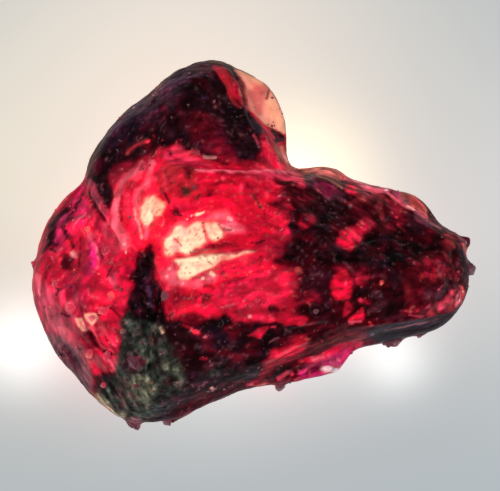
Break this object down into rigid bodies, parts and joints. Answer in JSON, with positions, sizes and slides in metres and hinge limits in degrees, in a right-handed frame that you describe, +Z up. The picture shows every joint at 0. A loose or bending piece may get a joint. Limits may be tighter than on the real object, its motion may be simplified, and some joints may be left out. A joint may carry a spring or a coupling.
{
  "type": "rough ruby",
  "caption": "Uncut lump of translucent red corundum with lobes, ledges, dark matrix skin and small grown-in crystals, resting on its broken flat side.",
  "frame": {"origin": "centre of the stone's box in X and Y, at the height of its flat resting face", "axes": "+X along the stone's length towards its narrow nose, +Y towards its upper lobe, +Z up from the resting face"},
  "size_m": [0.0286, 0.0244, 0.0123],
  "materials": {
    "ruby": "gloss"
  },
  "bodies": {
    "root": {"rough_ruby": "ruby"}
  },
  "joints": []
}
